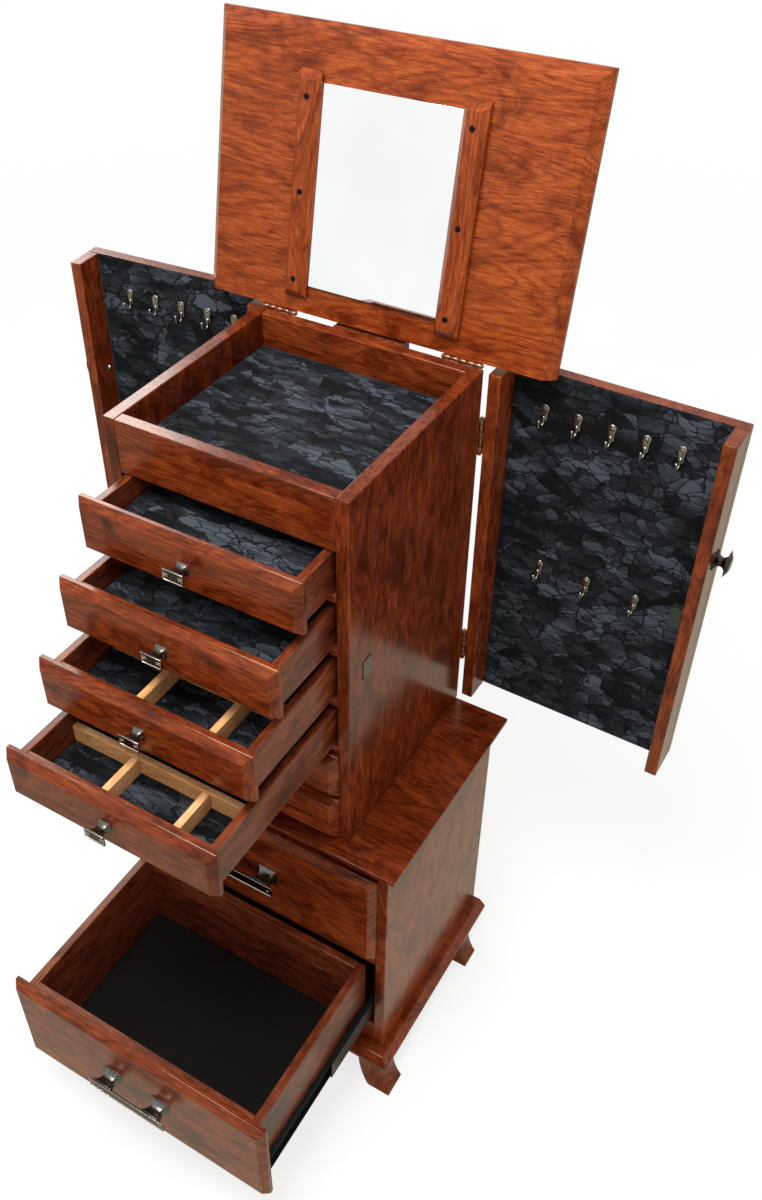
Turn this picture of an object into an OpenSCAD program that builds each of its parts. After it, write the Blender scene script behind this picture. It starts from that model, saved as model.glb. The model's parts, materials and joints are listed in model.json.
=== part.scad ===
// Jewelry armoire: a tall drawer case with a hinged lid and two channel-shaped side doors,
// standing on a wider base cabinet with two deep drawers and four splayed feet.
// Right is +X, the front faces -Y, the floor is z = 0 and the base plate is centred on the origin.

/* [Base cabinet] */
// Height of the splayed feet
foot_h = 50; // [45:1:60]
// Width of the base plate, and of the board on top of the base
plate_w = 568; // [564:1:580]
// Depth of the base plate
plate_d = 398; // [396:1:404]
// Thickness of the base plate
plate_t = 19; // [18:1:21]
// Width of the base cabinet body
base_w = 521; // [519:1:523]
// Depth of the base cabinet body
base_d = 361; // [359:1:363]
// Height of the base cabinet body
base_h = 500; // [498:1:504]
// Thickness of the lid and of the board on top of the base
board_t = 22; // [20:1:24]
// Depth of the board on top of the base
base_board_d = 389; // [386:1:392]
// Width and height of the bevel under the lid and under the base board
under_bevel = 15; // [10:1:16]
// Width and height of the bevel round the top of the base plate
plate_bevel = 12; // [8:1:13]

/* [Upper case] */
// Width of the upper case
case_w = 374; // [372:1:376]
// Depth of the upper case
case_d = 359; // [357:1:361]
// Height of the upper case
case_h = 634; // [632:1:640]
// Thickness of the solid wood panels
wood_t = 19; // [18:1:20]
// Height of the rails round the top tray
tray_rail_h = 82; // [80:1:84]
// Depth of the velvet floor below the top of the case
tray_depth = 51; // [45:1:60]

/* [Small drawers] */
// Height of each small drawer front
front_h = 83; // [80:1:86]
// Distance from one small drawer to the next
front_pitch = 94; // [90:0.5:95]
// Width of each small drawer front
front_w = 344; // [340:1:350]
// Thickness of every drawer front
front_t = 18; // [16:1:20]
// Width of the bevel round every drawer front
front_bevel = 9; // [6:1:10]
// Length of the small drawer boxes
box_len = 330; // [320:1:335]
// How far each small drawer stands open, from the top one down
pulled_out = [72, 131, 193, 280, 0, 0];

/* [Base drawers] */
// Width of each base drawer front
base_front_w = 490; // [488:1:494]
// Height of each base drawer front
base_front_h = 202; // [198:1:204]
// Length of the base drawer boxes
base_box_len = 315; // [300:1:325]
// How far the lower base drawer stands open
base_pulled_out = 321; // [0:1:321]

/* [Side doors] */
// Length of each side door, from its hinge to its free edge
door_len = 348; // [340:1:350]
// Depth of each side door
door_deep = 67.5; // [60:0.5:68]
// Height of each side door
door_h = 622; // [615:1:624]
// Opening angle of the right door
right_open = 89; // [0:1:180]
// Opening angle of the left door
left_open = 86; // [0:1:180]

/* [Lid] */
// Depth of the lid from its hinged edge to its front edge
lid_d = 389; // [385:1:392]
// Opening angle of the lid
lid_open = 101; // [0:1:101]

/* [Hidden] */
$fn = 48;

// heights of the main levels
plate_z = foot_h;
body_z = plate_z + plate_t;
board_z = body_z + base_h;
case_z = board_z + board_t;
case_top = case_z + case_h;

// fore-and-aft places of the main blocks
plate_front = -plate_d / 2;
case_front = plate_front + 41;
case_back = case_front + case_d;
body_front = case_front - 9;
body_back = body_front + base_d;
board_front = case_front - 34;
case_half = case_w / 2;
opening_half = case_half - wood_t;
body_half = base_w / 2;
base_opening_half = body_half - wood_t;
thin_panel_t = 6;

// butt hinges on the back edges: barrel radius, leaf size and the gap that they span
barrel_r = 3.5;
barrel_pin_r = 1.5;
pin_play = 0.05;
leaf_t = 1.5;
leaf_w = 17;
leaf_len = 60;
hinge_gap = 3;
knuckles = 5;
knuckle_gap = 0.3;
barrel_play = 0.6;
lid_hinge_x = 152;
door_hinge_z = [120, 525];
pin_y = case_back + barrel_r;
lid_z = case_top + hinge_gap;
lid_pin_z = case_top + hinge_gap / 2;
door_pin_x = case_half + hinge_gap / 2;
door_inner_x = case_half + hinge_gap;
door_z = case_z + 4;
door_outer_x = door_inner_x + door_deep;
liner_t = 3.5;
door_floor_x = door_outer_x - wood_t - liner_t;
door_free_y = case_back - door_len;

// hooks, knob and catch of the doors
hook_first = 71;
hook_pitch = 50;
hook_rows = [[578, [0, 1, 2, 3, 4]], [307, [0.42, 1.98, 3.54]]];
hook_plate_w = 12;
hook_plate_h = 28;
hook_plate_t = 1.5;
knob_z = case_z + 423;
knob_x = door_inner_x + 36;
catch_z = case_z + 329;
catch_h = 33;
strike_t = 1.5;

// small drawer boxes
first_front_top = case_z + 562;
box_half = opening_half - 6;
box_wall = 12;
box_top_drop = 12;
box_foot_rise = 3;
box_h = front_h - box_top_drop - box_foot_rise;
box_floor_t = 5;
box_floor_rise = 8;
front_gap = 0.5;
rail_t = 12;
rail_deep = 40;
runner_w = 14;
runner_clear = 0.5;
divider_t = 11;
divider_h = 30;
divider_back = [107, 91];
divider_x = [-37, 82];

// base drawer boxes and their full-extension slides
base_front_top = [542, 318];
base_box_z = [352, 128];
base_box_h = 178;
base_box_half = body_half - wood_t - 13.5;
base_box_wall = 14;
slide_rise = 48;
slide_len = 310;
slide_wall = 1.4;
link_back = 26;
slide_heights = [45, 40.6, 36.2];
slide_lip_inner = 2.5;

// pulls
small_pull_reach = 22;
base_pull_reach = 28;
pull_rim = 1.6;
pull_recess = 0.8;
plate_thick = 3;

// mirror held under the lid
mirror_half = 112;
mirror_from = 42;
mirror_to = 316;
mirror_t = 4;
rail_inner = 105;
rail_outer = 141;
rail_from = 22;
rail_to = 330;
mirror_rail_t = 15;
rail_bevel = 8;
rail_end_bevel = 12;
screw_x = 123;
screw_at = [51, 173, 297];
screw_r = 2;
screw_deep = 8;

wood = "#7a3320";
dark_wood = "#5c2416";
pale_wood = "#d9a868";
velvet = "#1d2024";
bronze = "#3f3a36";
copper = "#b5734f";
steel = "#1c1d1f";

// ---------- shared shapes ----------

// box from one corner to the opposite one
module block(from, to) {
    translate(from) cube(to - from);
}

// the same children on the right and, mirrored, on the left
module both_sides() {
    children();
    mirror([1, 0, 0]) children();
}

// wedge that planes a bevel off an edge along X: the edge is at the origin, the wood lies
// towards +Y and +Z, and the bevel is run x rise
module bevel_wedge(run, rise, length) {
    rotate([90, 0, 90])
        linear_extrude(height = length, center = true)
            polygon([[-1, -1], [run, -1], [run, 0], [0, rise], [-1, rise]]);
}

// board with its underside bevelled at the front and both ends
module under_bevelled_board(half_w, front_y, back_y, z, thick, bevel) {
    deep = back_y - front_y;
    difference() {
        block([-half_w, front_y, z], [half_w, back_y, z + thick]);
        translate([0, front_y, z]) bevel_wedge(bevel, bevel, 2 * half_w + 2);
        both_sides()
            translate([half_w, (front_y + back_y) / 2, z])
                rotate([0, 0, 90])
                    bevel_wedge(bevel, bevel, deep + 2);
    }
}

// drawer front with all four front edges bevelled; its front face lies at y = front_y
module bevelled_front(w, h, front_y, z) {
    back_edge = front_t - 7;
    difference() {
        block([-w / 2, front_y, z], [w / 2, front_y + front_t, z + h]);
        translate([0, front_y, z]) bevel_wedge(back_edge, front_bevel, w + 2);
        translate([0, front_y, z + h]) mirror([0, 0, 1]) bevel_wedge(back_edge, front_bevel, w + 2);
        both_sides()
            translate([w / 2, front_y, z + h / 2])
                rotate([0, -90, 0])
                    bevel_wedge(back_edge, front_bevel, h + 2);
    }
}

// open box with four walls and a floor let in between them
module drawer_box(half_w, wall, h, front_y, length, z, floor_rise, floor_t) {
    back_y = front_y + length;
    both_sides()
        block([half_w - wall, front_y, z], [half_w, back_y, z + h]);
    block([-half_w + wall, back_y - wall, z], [half_w - wall, back_y, z + h]);
    block([-half_w + wall, front_y, z], [half_w - wall, front_y + wall, z + h]);
    block([-half_w + wall, front_y + wall, z + floor_rise],
          [half_w - wall, back_y - wall, z + floor_rise + floor_t]);
}

// square post, hollowed on all four sides by round cuts; it stands on the XZ plane, towards -Y
module flared_post(size, neck, reach) {
    bite = (size - neck) / 2;
    cut_r = (reach * reach / 4 + bite * bite) / (2 * bite);
    difference() {
        block([-size / 2, -reach, -size / 2], [size / 2, 0, size / 2]);
        for (s = [-1, 1]) {
            translate([s * (neck / 2 + cut_r), -reach / 2, 0])
                cylinder(r = cut_r, h = size + 2, center = true);
            translate([0, -reach / 2, s * (neck / 2 + cut_r)])
                rotate([0, 90, 0]) cylinder(r = cut_r, h = size + 2, center = true);
        }
    }
}

// pull with one or two flared posts behind a bar; the bar has a raised rim and a small
// pyramid stud near each end
module pull(bar_w, bar_h, reach, posts, post_size, studs) {
    post_reach = reach - plate_thick;
    for (x = posts)
        translate([x, 0, 0]) flared_post(post_size, post_size * 0.6, post_reach);
    difference() {
        block([-bar_w / 2, -reach, -bar_h / 2], [bar_w / 2, -post_reach, bar_h / 2]);
        block([-bar_w / 2 + pull_rim, -reach - 1, -bar_h / 2 + pull_rim],
              [bar_w / 2 - pull_rim, -reach + pull_recess, bar_h / 2 - pull_rim]);
    }
    for (x = studs)
        translate([x, -reach + pull_recess, 0])
            rotate([90, 45, 0]) cylinder(r1 = 3.4, r2 = 0.5, h = 1.9, $fn = 4);
}

// ---------- hinges ----------

// barrel of a butt hinge along Z: every other knuckle, from the first or the second
module knuckle_row(first, bore_r) {
    step = leaf_len / knuckles;
    for (i = [first : 2 : knuckles - 1])
        translate([0, 0, -leaf_len / 2 + i * step + knuckle_gap / 2])
            difference() {
                cylinder(r = barrel_r, h = step - knuckle_gap);
                translate([0, 0, -1]) cylinder(r = bore_r, h = step + 2);
            }
}

// half a butt hinge, its pin on the Z axis: the leaf lies against the plane y = -barrel_r
// and runs towards -X, starting at the edge of the wood
module hinge_half(first) {
    step = leaf_len / knuckles;
    edge = -hinge_gap / 2;
    knuckle_row(first, barrel_pin_r + pin_play);
    difference() {
        block([edge - leaf_w, -barrel_r, -leaf_len / 2], [0, -barrel_r + leaf_t, leaf_len / 2]);
        for (i = [0 : knuckles - 1])
            if (i % 2 != first)
                translate([0, 0, -leaf_len / 2 + i * step - knuckle_gap / 2])
                    cylinder(r = barrel_r + barrel_play, h = step + knuckle_gap);
        cylinder(r = barrel_pin_r + pin_play, h = leaf_len + 2, center = true);
    }
}

module hinge_pin() {
    head_h = 1.2;
    cylinder(r = barrel_pin_r, h = leaf_len + 2, center = true);
    for (s = [-1, 1])
        translate([0, 0, s * (leaf_len / 2 + head_h / 2 + knuckle_gap)])
            cylinder(r = barrel_r - 0.6, h = head_h, center = true);
}

// the hinge axis of the lid along X, with the leaf side turned down
module at_lid_hinge(x) {
    translate([x, pin_y, lid_pin_z]) rotate([0, -90, 0]) children();
}

// the hinge axes of the right door
module at_door_hinges() {
    for (z = door_hinge_z)
        translate([door_pin_x, pin_y, case_z + z]) children();
}

// ---------- rest position of the moving parts ----------

module open_lid() {
    translate([0, pin_y, lid_pin_z])
        rotate([-lid_open, 0, 0])
            translate([0, -pin_y, -lid_pin_z]) children();
}

module swing_door(angle) {
    translate([door_pin_x, pin_y, 0])
        rotate([0, 0, angle])
            translate([-door_pin_x, -pin_y, 0]) children();
}

module right_door() {
    swing_door(right_open) children();
}

module left_door() {
    mirror([1, 0, 0]) swing_door(left_open) children();
}

// ---------- base cabinet ----------

// outline of a foot from the side: bulging inside, hollow outside, wider apart at the floor
module foot_outline(top_in, top_out, floor_in, floor_out) {
    spread_in = floor_in - top_in;
    spread_out = floor_out - top_out;
    bulge_r = (spread_in * spread_in + foot_h * foot_h) / (2 * spread_in);
    hollow_r = (spread_out * spread_out + foot_h * foot_h) / (2 * spread_out);
    difference() {
        intersection() {
            translate([top_in, 0]) square([floor_out - top_in, foot_h]);
            translate([top_in + bulge_r, foot_h]) circle(r = bulge_r, $fn = 96);
        }
        translate([top_out + hollow_r, foot_h]) circle(r = hollow_r, $fn = 96);
    }
}

module foot(front, back, forward_splay) {
    top_in = body_half - 31;
    top_out = plate_w / 2 - 3;
    lean = 0.5;
    intersection() {
        translate([0, back + 1, 0])
            rotate([90, 0, 0])
                linear_extrude(height = back - front + forward_splay + 2)
                    foot_outline(top_in, top_out, top_in + 27, top_out + 18);
        rotate([90, 0, -90])
                translate([0, 0, -plate_w])
                    linear_extrude(height = plate_w)
                        foot_outline(-back, -front, -back + lean, -front + forward_splay);
    }
}

module feet() {
    front_foot = plate_front + 1;
    back_foot = 99;
    foot_deep = 35;
    color(dark_wood) both_sides() {
        foot(front_foot, front_foot + foot_deep, 13);
        foot(back_foot, back_foot + foot_deep, 9);
    }
}

module base_plate() {
    half = plate_w / 2;
    top = plate_z + plate_t;
    color(wood)
        difference() {
            block([-half, plate_front, plate_z], [half, -plate_front, top]);
            translate([0, plate_front, top]) mirror([0, 0, 1])
                bevel_wedge(plate_bevel, plate_bevel, plate_w + 2);
            both_sides()
                translate([half, 0, top]) mirror([0, 0, 1])
                    rotate([0, 0, 90]) bevel_wedge(plate_bevel, plate_bevel, plate_d + 2);
        }
}

module base_sides() {
    color(wood) both_sides()
        block([base_opening_half, body_front, body_z], [body_half, body_back, board_z]);
}

module base_front_rails() {
    overlap = 8;
    back = body_front + wood_t;
    lows = [base_front_top[0] - overlap, base_front_top[1] - overlap, body_z];
    highs = [board_z, base_front_top[0] - base_front_h + overlap,
             base_front_top[1] - base_front_h + overlap];
    color(wood)
        for (i = [0 : 2])
            block([-base_opening_half, body_front, lows[i]], [base_opening_half, back, highs[i]]);
}

module base_top_board() {
    color(wood)
        under_bevelled_board(plate_w / 2, board_front, board_front + base_board_d, board_z, board_t,
                             under_bevel);
}

// thin back panels of both cabinets, and the block that stops the lid
module back_panels() {
    stop_half = 57;
    stop_deep = 26;
    stop_h = 45;
    lid_clear = 0.8;
    color(dark_wood) {
        block([-base_opening_half, body_back - thin_panel_t, body_z],
              [base_opening_half, body_back, board_z]);
        block([-opening_half, case_back - thin_panel_t, case_z],
              [opening_half, case_back, case_top - tray_rail_h]);
        block([-stop_half, case_back, case_top - lid_clear - stop_h],
              [stop_half, case_back + stop_deep, case_top - lid_clear]);
    }
}

// ---------- upper case ----------

module upper_sides() {
    color(wood) both_sides()
        block([opening_half, case_front, case_z], [case_half, case_back, case_top]);
}

module tray_rails() {
    low = case_top - tray_rail_h;
    color(wood) {
        block([-opening_half, case_front, low], [opening_half, case_front + wood_t, case_top]);
        block([-opening_half, case_back - wood_t, low], [opening_half, case_back, case_top]);
    }
}

module tray_liner() {
    top = case_top - tray_depth;
    color(velvet)
        block([-opening_half + 0.5, case_front + wood_t + 0.5, top - liner_t],
              [opening_half - 0.5, case_back - wood_t - 0.5, top]);
}

// tray floor, bottom board, and the rails and runners that carry the small drawers
module upper_inner_frame() {
    tray_board_t = 9;
    tray_top = case_top - tray_depth - liner_t;
    inner_back = case_back - thin_panel_t;
    color(dark_wood) {
        block([-opening_half, case_front + wood_t, tray_top - tray_board_t],
              [opening_half, case_back - wood_t, tray_top]);
        block([-opening_half, case_front, case_z],
              [opening_half, inner_back, small_box_z(5) - runner_clear]);
        for (i = [0 : 4]) {
            top = small_box_z(i) - runner_clear;
            block([-opening_half, case_front, top - rail_t],
                  [opening_half, case_front + rail_deep, top]);
            both_sides()
                block([opening_half - runner_w, case_front + rail_deep, top - rail_t],
                      [opening_half, inner_back, top]);
        }
    }
}

module strike_plates() {
    color(bronze) both_sides()
        block([case_half, case_front + 36, catch_z - catch_h / 2],
              [case_half + strike_t, case_front + 58, catch_z + catch_h / 2]);
}

// the halves of all six hinges that are fixed to the case, with their pins
module hinge_case_halves() {
    color(copper) {
        for (s = [-1, 1])
            at_lid_hinge(s * lid_hinge_x) {
                hinge_half(0);
                hinge_pin();
            }
        both_sides() at_door_hinges() {
            hinge_half(0);
            hinge_pin();
        }
    }
}

// ---------- lid ----------

module lid_board() {
    pilot_top = lid_z + screw_deep;
    color(wood) open_lid()
        difference() {
            under_bevelled_board(plate_w / 2, case_back - lid_d, case_back, lid_z, board_t, under_bevel);
            lid_screws_at() translate([0, 0, -1]) cylinder(r = screw_r + pin_play, h = screw_deep + 1);
        }
}

module lid_hinge_leaves() {
    color(copper) open_lid()
        for (s = [-1, 1])
            at_lid_hinge(s * lid_hinge_x) mirror([1, 0, 0]) hinge_half(1);
}

// the six places where the mirror rails are screwed to the underside of the closed lid
module lid_screws_at() {
    for (s = [-1, 1], v = screw_at)
        translate([s * screw_x, case_back - v, lid_z]) children();
}

module mirror_rails() {
    rabbet = 0.2;
    mid = (rail_inner + rail_outer) / 2;
    color(wood) open_lid()
        difference() {
            both_sides()
                translate([0, case_back - rail_from, lid_z])
                    rotate([90, 0, 0])
                        linear_extrude(height = rail_to - rail_from)
                            polygon([
                                [mirror_half + rabbet, 0], [rail_outer, 0],
                                [rail_outer, rail_bevel - mirror_rail_t],
                                [rail_outer - rail_bevel, -mirror_rail_t],
                                [rail_inner + rail_bevel, -mirror_rail_t],
                                [rail_inner, rail_bevel - mirror_rail_t],
                                [rail_inner, -mirror_t - rabbet],
                                [mirror_half + rabbet, -mirror_t - rabbet]
                            ]);
            for (end = [[rail_from, 1], [rail_to, -1]])
                translate([0, case_back - end[0], lid_z - mirror_rail_t])
                    mirror([0, end[1] > 0 ? 1 : 0, 0])
                        bevel_wedge(rail_end_bevel, rail_end_bevel, 2 * rail_outer + 2);
            lid_screws_at() translate([0, 0, -mirror_rail_t - 1])
                cylinder(r = screw_r + pin_play, h = mirror_rail_t + 2);
        }
}

module mirror_glass() {
    color("#dfe6ea") open_lid()
        block([-mirror_half, case_back - mirror_to, lid_z - mirror_t],
              [mirror_half, case_back - mirror_from, lid_z]);
}

module mirror_screws() {
    head_r = 4.2;
    head_h = 1.8;
    color(steel) open_lid() lid_screws_at() {
        translate([0, 0, -mirror_rail_t - head_h]) cylinder(r1 = head_r - 0.9, r2 = head_r, h = head_h);
        translate([0, 0, -mirror_rail_t]) cylinder(r = screw_r, h = mirror_rail_t + screw_deep - 0.5);
    }
}

// ---------- side doors, drawn closed on the right ----------

module door_frame() {
    color(wood) {
        block([door_outer_x - wood_t, door_free_y, door_z],
              [door_outer_x, case_back, door_z + door_h]);
        block([door_inner_x, door_free_y, door_z],
              [door_outer_x - wood_t, door_free_y + wood_t, door_z + door_h]);
        block([door_inner_x, case_back - wood_t, door_z],
              [door_outer_x - wood_t, case_back, door_z + door_h]);
    }
}

module door_liner() {
    color(velvet)
        block([door_floor_x, door_free_y + wood_t + 0.5, door_z],
              [door_floor_x + liner_t, case_back - wood_t - 0.5, door_z + door_h]);
}

module door_hinge_leaves() {
    color(copper) at_door_hinges() mirror([1, 0, 0]) hinge_half(1);
}

// small coat-hook on an oval plate, with a prong that bends out and up to a ball
module hook() {
    round_r = hook_plate_w / 2;
    prong_r = 1.3;
    bend_r = 8;
    rise = 7;
    rotate([0, -90, 0])
        linear_extrude(height = hook_plate_t)
            for (s = [0, 1])
                intersection() {
                    translate([-hook_plate_h / 2 + hook_plate_h / 2 * s, -round_r])
                        square([hook_plate_h / 2, hook_plate_w]);
                    union() {
                        translate([(hook_plate_h / 2 - round_r) * (2 * s - 1), 0]) circle(r = round_r);
                        translate([-(hook_plate_h / 2 - round_r), -round_r])
                            square([hook_plate_h - hook_plate_w, hook_plate_w]);
                    }
                }
    translate([-hook_plate_t - bend_r - prong_r, 0, -hook_plate_h / 2 + 6])
        rotate([90, 0, 0]) rotate([0, 0, 180])
            rotate_extrude(angle = 180) translate([bend_r, 0]) circle(r = prong_r, $fn = 24);
    translate([-hook_plate_t - prong_r, 0, -hook_plate_h / 2 + 6])
        cylinder(r = prong_r, h = rise, $fn = 24);
    translate([-hook_plate_t - 2 * bend_r - prong_r, 0, -hook_plate_h / 2 + 6])
        cylinder(r1 = prong_r, r2 = prong_r * 0.8, h = 4, $fn = 24);
    translate([-hook_plate_t - 2 * bend_r - prong_r, 0, -hook_plate_h / 2 + 12])
        sphere(r = 2.8, $fn = 32);
}

module door_hooks() {
    color(bronze)
        for (row = hook_rows, i = row[1])
            translate([door_floor_x, case_back - hook_first - i * hook_pitch,
                       case_z + row[0] - hook_plate_h / 2]) hook();
}

// flared square knob on a backplate on the free edge, the head of its screw and the catch
// inside
module door_knob_catch() {
    base_t = 2;
    neck_reach = 15;
    face = 29;
    color(bronze) {
        translate([knob_x, door_free_y, knob_z]) {
            block([-11, -base_t, -11], [11, 0, 11]);
            translate([0, -base_t, 0]) flared_post(20, 10, neck_reach);
            intersection() {
                translate([0, -base_t - neck_reach, 0]) mirror([0, 1, 0])
                    rotate([-90, 0, 0]) cylinder(r1 = face * 0.7, r2 = face * 0.35, h = 5);
                block([-face / 2, -base_t - neck_reach - 5, -face / 2],
                      [face / 2, -base_t - neck_reach, face / 2]);
            }
        }
        translate([knob_x, door_free_y + wood_t, knob_z])
            rotate([-90, 0, 0]) cylinder(r1 = 4, r2 = 2, h = 3);
        block([door_inner_x, door_free_y + wood_t, catch_z - catch_h / 2],
              [door_inner_x + 12, door_free_y + wood_t + 16, catch_z + catch_h / 2]);
    }
}

// ---------- small drawers ----------

function small_front_z(i) = first_front_top - front_h - i * front_pitch;
function small_box_z(i) = small_front_z(i) + box_foot_rise;
function small_front_y(i) = case_front - front_gap - front_t - pulled_out[i];
function small_box_y(i) = small_front_y(i) + front_t;
function small_floor_z(i) = small_box_z(i) + box_floor_rise + box_floor_t;

module small_front(i) {
    color(wood) bevelled_front(front_w, front_h, small_front_y(i), small_front_z(i));
}

module small_box(i) {
    color(dark_wood)
        drawer_box(box_half, box_wall, box_h, small_box_y(i), box_len, small_box_z(i),
                   box_floor_rise, box_floor_t);
}

module small_pull(i) {
    color(bronze)
        translate([0, small_front_y(i), small_front_z(i) + front_h / 2])
            pull(32, 18, small_pull_reach, [0], 18, [-11, 11]);
}

// soft insert on the floor of a drawer
module drawer_pad(i, top_drop) {
    inside = box_half - box_wall - 1;
    color(velvet)
        block([-inside, small_box_y(i) + box_wall + 1, small_floor_z(i)],
              [inside, small_box_y(i) + box_len - box_wall - 1,
               small_box_z(i) + box_h - top_drop]);
}

// one divider across the drawer and two from it to the front
module drawer_dividers(i) {
    inside = box_half - box_wall;
    low = small_floor_z(i);
    near = small_box_y(i) + box_wall;
    cross_y = small_box_y(i) + divider_back[i - 2];
    color(pale_wood) {
        block([-inside, cross_y, low], [inside, cross_y + divider_t, low + divider_h]);
        for (x = divider_x)
            block([x - divider_t / 2, near, low], [x + divider_t / 2, cross_y, low + divider_h]);
    }
}

// ---------- base drawers ----------

function base_out(i) = i == 0 ? 0 : base_pulled_out;
function base_front_y(i) = body_front - front_gap - front_t - base_out(i);
function base_box_y(i) = base_front_y(i) + front_t;

module base_front(i) {
    color(wood)
        bevelled_front(base_front_w, base_front_h, base_front_y(i), base_front_top[i] - base_front_h);
}

module base_box(i) {
    color(dark_wood)
        drawer_box(base_box_half, base_box_wall, base_box_h, base_box_y(i), base_box_len,
                   base_box_z[i], 4, thin_panel_t);
}

module base_pull(i) {
    color(bronze)
        translate([0, base_front_y(i), base_front_top[i] - base_front_h / 2])
            pull(147, 23, base_pull_reach, [-48, 48], 34, [-66, 66]);
}

// channel of a drawer slide on the right: its web stands at web_x and its lips reach lip_x
module slide_channel(web_x, lip_x, z, h, front_y, length) {
    side = lip_x > web_x ? 1 : -1;
    lo = min(web_x, lip_x);
    hi = max(web_x, lip_x);
    difference() {
        block([lo, front_y, z - h / 2], [hi, front_y + length, z + h / 2]);
        block([side > 0 ? web_x + slide_wall : lo - 1, front_y - 1, z - h / 2 + slide_wall],
              [side > 0 ? hi + 1 : web_x - slide_wall, front_y + length + 1, z + h / 2 - slide_wall]);
    }
}

module slide_outer_members() {
    color(steel) both_sides()
        for (z = base_box_z)
            slide_channel(base_opening_half, base_box_half + slide_lip_inner, z + slide_rise,
                          slide_heights[0], body_front + 2, slide_len);
}

module slide_links(i) {
    web_gap = 1;
    color(steel) both_sides()
        slide_channel(base_opening_half - slide_wall - web_gap, base_box_half + slide_lip_inner,
                      base_box_z[i] + slide_rise, slide_heights[1],
                      body_front + link_back - base_out(i) / 2, slide_len - link_back + 2);
}

module drawer_slides(i) {
    link_web = 2 * slide_wall + 2;
    color(steel) both_sides()
        slide_channel(base_box_half, base_opening_half - link_web - 0.6,
                      base_box_z[i] + slide_rise, slide_heights[2],
                      base_box_y(i) + 2, slide_len);
}

feet();
base_plate();
base_sides();
base_front_rails();
base_top_board();
back_panels();
upper_sides();
tray_rails();
tray_liner();
upper_inner_frame();
strike_plates();
hinge_case_halves();
slide_outer_members();
lid_board();
lid_hinge_leaves();
mirror_rails();
mirror_glass();
mirror_screws();
right_door() door_frame();  // right_door_frame
right_door() door_liner();  // right_door_liner
right_door() door_hinge_leaves();  // right_door_hinge_leaves
right_door() door_hooks();  // right_door_hooks
right_door() door_knob_catch();  // right_door_knob_catch
left_door() door_frame();  // left_door_frame
left_door() door_liner();  // left_door_liner
left_door() door_hinge_leaves();  // left_door_hinge_leaves
left_door() door_hooks();  // left_door_hooks
left_door() door_knob_catch();  // left_door_knob_catch
small_front(0);  // drawer_1_front
small_box(0);  // drawer_1_box
small_pull(0);  // drawer_1_pull
drawer_pad(0, 27);  // drawer_1_ring_roll
small_front(1);  // drawer_2_front
small_box(1);  // drawer_2_box
small_pull(1);  // drawer_2_pull
drawer_pad(1, 27);  // drawer_2_pad
small_front(2);  // drawer_3_front
small_box(2);  // drawer_3_box
small_pull(2);  // drawer_3_pull
drawer_dividers(2);  // drawer_3_dividers
small_front(3);  // drawer_4_front
small_box(3);  // drawer_4_box
small_pull(3);  // drawer_4_pull
drawer_dividers(3);  // drawer_4_dividers
small_front(4);  // drawer_5_front
small_box(4);  // drawer_5_box
small_pull(4);  // drawer_5_pull
small_front(5);  // drawer_6_front
small_box(5);  // drawer_6_box
small_pull(5);  // drawer_6_pull
base_front(0);  // upper_base_drawer_front
base_box(0);  // upper_base_drawer_box
base_pull(0);  // upper_base_drawer_pull
drawer_slides(0);  // upper_base_drawer_slides
slide_links(0);  // upper_base_slide_links
base_front(1);  // lower_base_drawer_front
base_box(1);  // lower_base_drawer_box
base_pull(1);  // lower_base_drawer_pull
drawer_slides(1);  // lower_base_drawer_slides
slide_links(1);  // lower_base_slide_links
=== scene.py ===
# %% [markdown]
# # A jewelry armoire
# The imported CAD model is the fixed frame: sizes, places and joints come from it. Blender adds
# the looks, such as stained cherry boards with eased edges, crushed velvet and bronze hardware.

# %% Load the frame
import json
import math
import random
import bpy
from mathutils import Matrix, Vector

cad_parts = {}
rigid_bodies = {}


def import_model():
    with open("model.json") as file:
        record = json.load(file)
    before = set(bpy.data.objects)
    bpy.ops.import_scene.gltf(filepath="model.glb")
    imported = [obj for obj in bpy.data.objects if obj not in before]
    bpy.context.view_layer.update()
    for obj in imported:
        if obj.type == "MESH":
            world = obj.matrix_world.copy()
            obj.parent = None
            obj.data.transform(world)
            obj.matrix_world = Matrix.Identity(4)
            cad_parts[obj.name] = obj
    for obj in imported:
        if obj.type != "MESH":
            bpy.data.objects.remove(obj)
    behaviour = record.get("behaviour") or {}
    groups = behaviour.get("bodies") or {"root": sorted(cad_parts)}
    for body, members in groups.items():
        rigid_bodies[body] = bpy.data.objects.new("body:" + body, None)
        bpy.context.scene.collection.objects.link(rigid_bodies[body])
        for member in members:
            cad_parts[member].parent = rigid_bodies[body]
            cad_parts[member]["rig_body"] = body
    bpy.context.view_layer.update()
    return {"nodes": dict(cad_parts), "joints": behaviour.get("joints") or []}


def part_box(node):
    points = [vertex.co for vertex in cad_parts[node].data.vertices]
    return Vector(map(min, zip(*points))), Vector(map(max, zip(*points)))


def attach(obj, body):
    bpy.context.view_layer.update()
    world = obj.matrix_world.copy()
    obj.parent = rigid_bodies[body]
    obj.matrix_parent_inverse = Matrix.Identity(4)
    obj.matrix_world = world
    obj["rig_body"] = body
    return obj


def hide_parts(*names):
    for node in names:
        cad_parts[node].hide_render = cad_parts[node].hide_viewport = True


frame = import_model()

import zlib
import bmesh
import bpy
from mathutils import Matrix, Vector

nodes = frame["nodes"]
scene = bpy.context.scene
MM = 0.001

# %% [markdown]
# ## Places that everything shares
# The lid and the doors are drawn open in the frame. It is easier to build them closed and then
# swing them open, so each gets a matrix that turns it about its hinge. A joint's lower limit is
# the closed position, so the opening angle comes from the record.

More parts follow.
